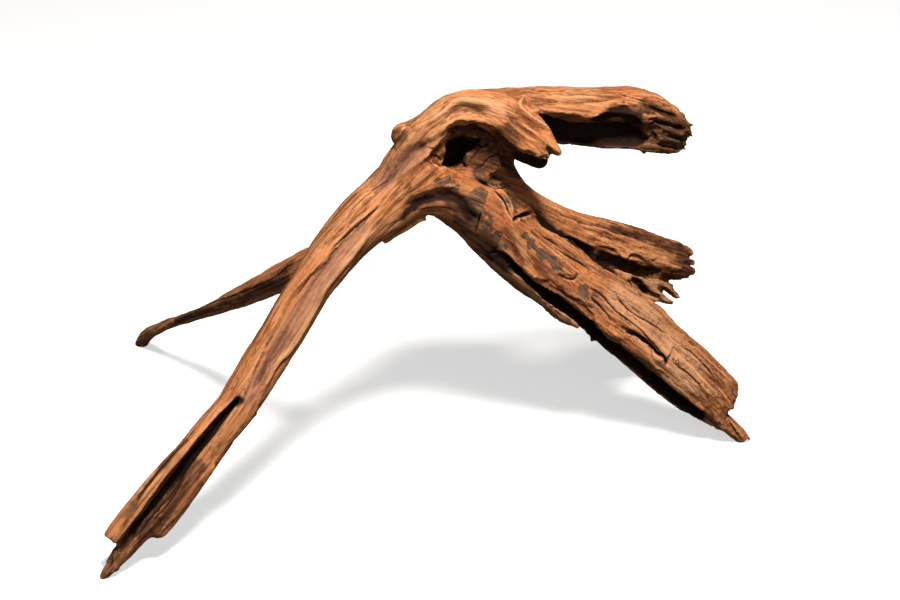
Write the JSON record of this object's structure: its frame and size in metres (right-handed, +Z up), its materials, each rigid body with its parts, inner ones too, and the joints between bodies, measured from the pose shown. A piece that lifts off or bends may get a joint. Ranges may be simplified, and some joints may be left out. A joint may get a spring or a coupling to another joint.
{
  "type": "piece of driftwood",
  "caption": "Weathered root driftwood that arches over open space on splayed, tapering legs, with a hollow crown and rotted upper branches.",
  "frame": {"origin": "on the surface that the wood stands on, under the middle of its bounding box", "axes": "+X along the wood's length, from the split left leg to the right leg; +Z up; -Y towards the side with the hollow"},
  "size_m": [0.6012, 0.4142, 0.3547],
  "materials": {
    "weathered_wood": "dry, dull, water-worn wood with fine grain"
  },
  "bodies": {
    "root": {"driftwood": "weathered_wood"}
  },
  "joints": []
}
